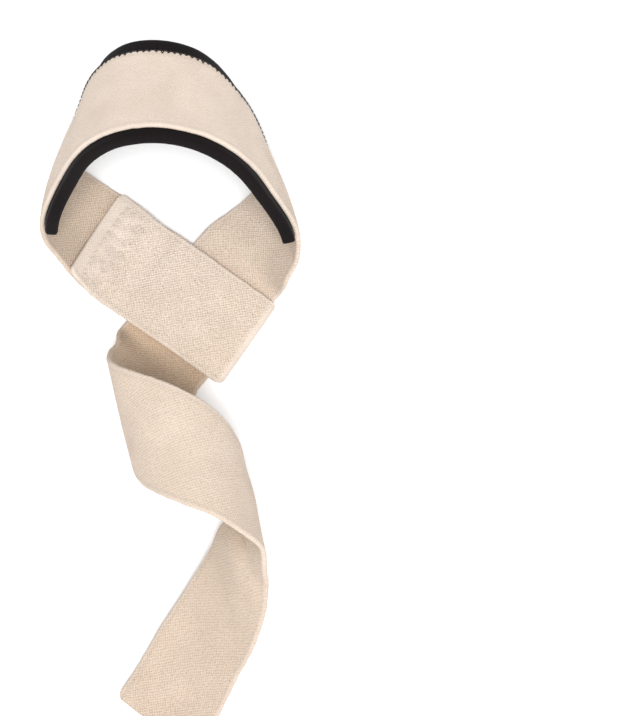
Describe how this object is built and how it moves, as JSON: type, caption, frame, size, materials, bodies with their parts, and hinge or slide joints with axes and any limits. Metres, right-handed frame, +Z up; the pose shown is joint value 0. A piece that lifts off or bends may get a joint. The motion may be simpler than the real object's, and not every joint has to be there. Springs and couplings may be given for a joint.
{
  "type": "weightlifting strap",
  "caption": "Cotton webbing strap that passes through its own sewn-back end to close into a padded wrist loop, with a free tail that wraps round a bar; lies with the tail loosely curled.",
  "frame": {"origin": "on the surface it lies on, under the middle of the whole strap", "axes": "+Z up from the surface; +Y from the tail's cut end towards the top of the wrist loop; +X to the right seen from above with +Y away"},
  "size_m": [0.0972, 0.2666, 0.0793],
  "materials": {
    "cotton_webbing": "natural woven cotton, matte",
    "black_pad": "matte black knit fabric on foam"
  },
  "bodies": {
    "root": {"webbing_strap": "cotton_webbing", "neoprene_pad": "black_pad"}
  },
  "joints": []
}
